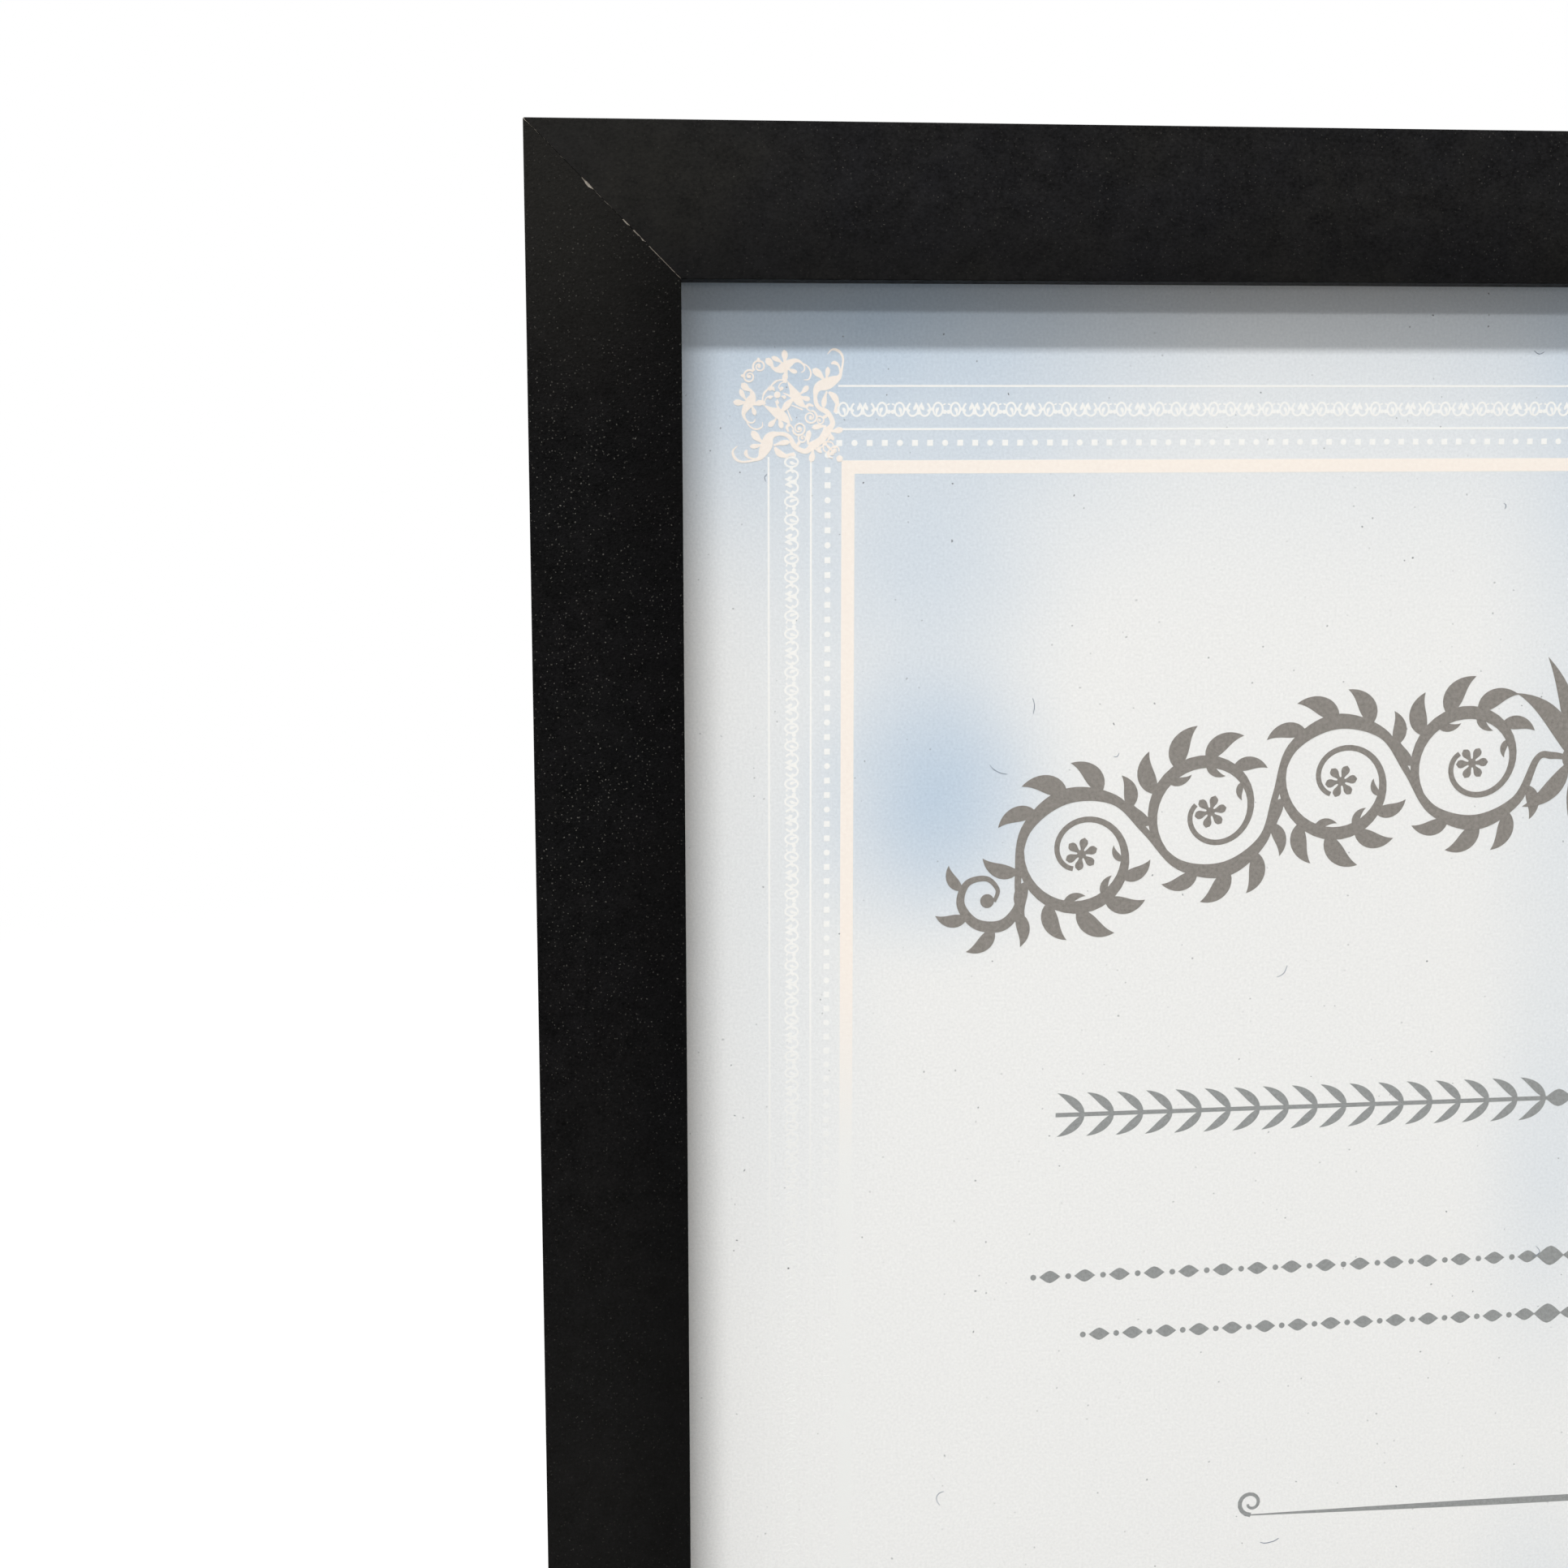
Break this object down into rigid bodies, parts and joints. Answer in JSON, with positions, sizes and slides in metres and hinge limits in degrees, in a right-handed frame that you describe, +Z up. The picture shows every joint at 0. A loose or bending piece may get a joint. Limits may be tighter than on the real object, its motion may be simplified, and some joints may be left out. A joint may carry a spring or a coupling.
{
  "type": "certificate frame",
  "caption": "Upright letter-size certificate frame: black mitred moulding, glass front, printed sheet with a blue border, turn-button backing, sawtooth hangers and a folding easel leg.",
  "frame": {"origin": "middle of the bottom rail's underside, halfway through the moulding's depth", "axes": "+Z up the upright frame, +X to the right of a viewer in front, -Y out of the front face"},
  "size_m": [0.2382, 0.021, 0.3016],
  "materials": {
    "rail_foil": "matte black foil with a fine grain over composite wood, raw board at the back",
    "pane_glass": "clear float glass",
    "certificate_paper": "white stock with a soft blue print, uncoated",
    "corrugated_card": "brown kraft",
    "backing_fibreboard": "raw brown fibreboard",
    "leg_paper_wrap": "black paper wrap over fibreboard",
    "black_steel": "black stamped steel, satin",
    "zinc_steel": "bright zinc plate",
    "hinge_steel": "nickel-plated rolled steel"
  },
  "bodies": {
    "frame": {"top_rail": "rail_foil", "bottom_rail": "rail_foil", "left_rail": "rail_foil", "right_rail": "rail_foil", "glass_pane": "pane_glass", "certificate_sheet": "certificate_paper", "filler_card": "corrugated_card", "backing_board": "backing_fibreboard", "corner_v_nails": "zinc_steel", "turn_button_screws": "zinc_steel", "top_hanger": "zinc_steel", "side_hanger": "zinc_steel", "hanger_nails": "zinc_steel", "easel_hinge_plate": "hinge_steel", "easel_hinge_pin": "hinge_steel", "hinge_plate_rivets": "hinge_steel"},
    "easel": {"easel_leg": "leg_paper_wrap", "easel_hinge_leaf": "hinge_steel", "hinge_leaf_rivets": "hinge_steel"},
    "left_upper_button": {"turn_button_left_upper": "black_steel"},
    "left_lower_button": {"turn_button_left_lower": "black_steel"},
    "right_upper_button": {"turn_button_right_upper": "black_steel"},
    "right_lower_button": {"turn_button_right_lower": "black_steel"},
    "top_left_button": {"turn_button_top_left": "black_steel"},
    "top_right_button": {"turn_button_top_right": "black_steel"},
    "bottom_left_button": {"turn_button_bottom_left": "black_steel"},
    "bottom_right_button": {"turn_button_bottom_right": "black_steel"}
  },
  "joints": [
    {"name": "easel_leg_swing", "type": "hinge", "parent": "frame", "child": "easel", "pos_m": [0, 0.0098, 0.174], "axis": [1, 0, 0], "range_deg": [0, 25]},
    {"name": "left_upper_button_turn", "type": "hinge", "parent": "frame", "child": "left_upper_button", "pos_m": [-0.1139, 0.00865, 0.2268], "axis": [0, 1, 0], "range_deg": [-90, 90]},
    {"name": "left_lower_button_turn", "type": "hinge", "parent": "frame", "child": "left_lower_button", "pos_m": [-0.1139, 0.00865, 0.0748], "axis": [0, 1, 0], "range_deg": [-90, 90]},
    {"name": "right_upper_button_turn", "type": "hinge", "parent": "frame", "child": "right_upper_button", "pos_m": [0.1139, 0.00865, 0.2268], "axis": [0, 1, 0], "range_deg": [-90, 90]},
    {"name": "right_lower_button_turn", "type": "hinge", "parent": "frame", "child": "right_lower_button", "pos_m": [0.1139, 0.00865, 0.0748], "axis": [0, 1, 0], "range_deg": [-90, 90]},
    {"name": "top_left_button_turn", "type": "hinge", "parent": "frame", "child": "top_left_button", "pos_m": [-0.065, 0.00865, 0.29645], "axis": [0, 1, 0], "range_deg": [-90, 90]},
    {"name": "top_right_button_turn", "type": "hinge", "parent": "frame", "child": "top_right_button", "pos_m": [0.065, 0.00865, 0.29645], "axis": [0, 1, 0], "range_deg": [-90, 90]},
    {"name": "bottom_left_button_turn", "type": "hinge", "parent": "frame", "child": "bottom_left_button", "pos_m": [-0.065, 0.00865, 0.00515], "axis": [0, 1, 0], "range_deg": [-90, 90]},
    {"name": "bottom_right_button_turn", "type": "hinge", "parent": "frame", "child": "bottom_right_button", "pos_m": [0.065, 0.00865, 0.00515], "axis": [0, 1, 0], "range_deg": [-90, 90]}
  ]
}
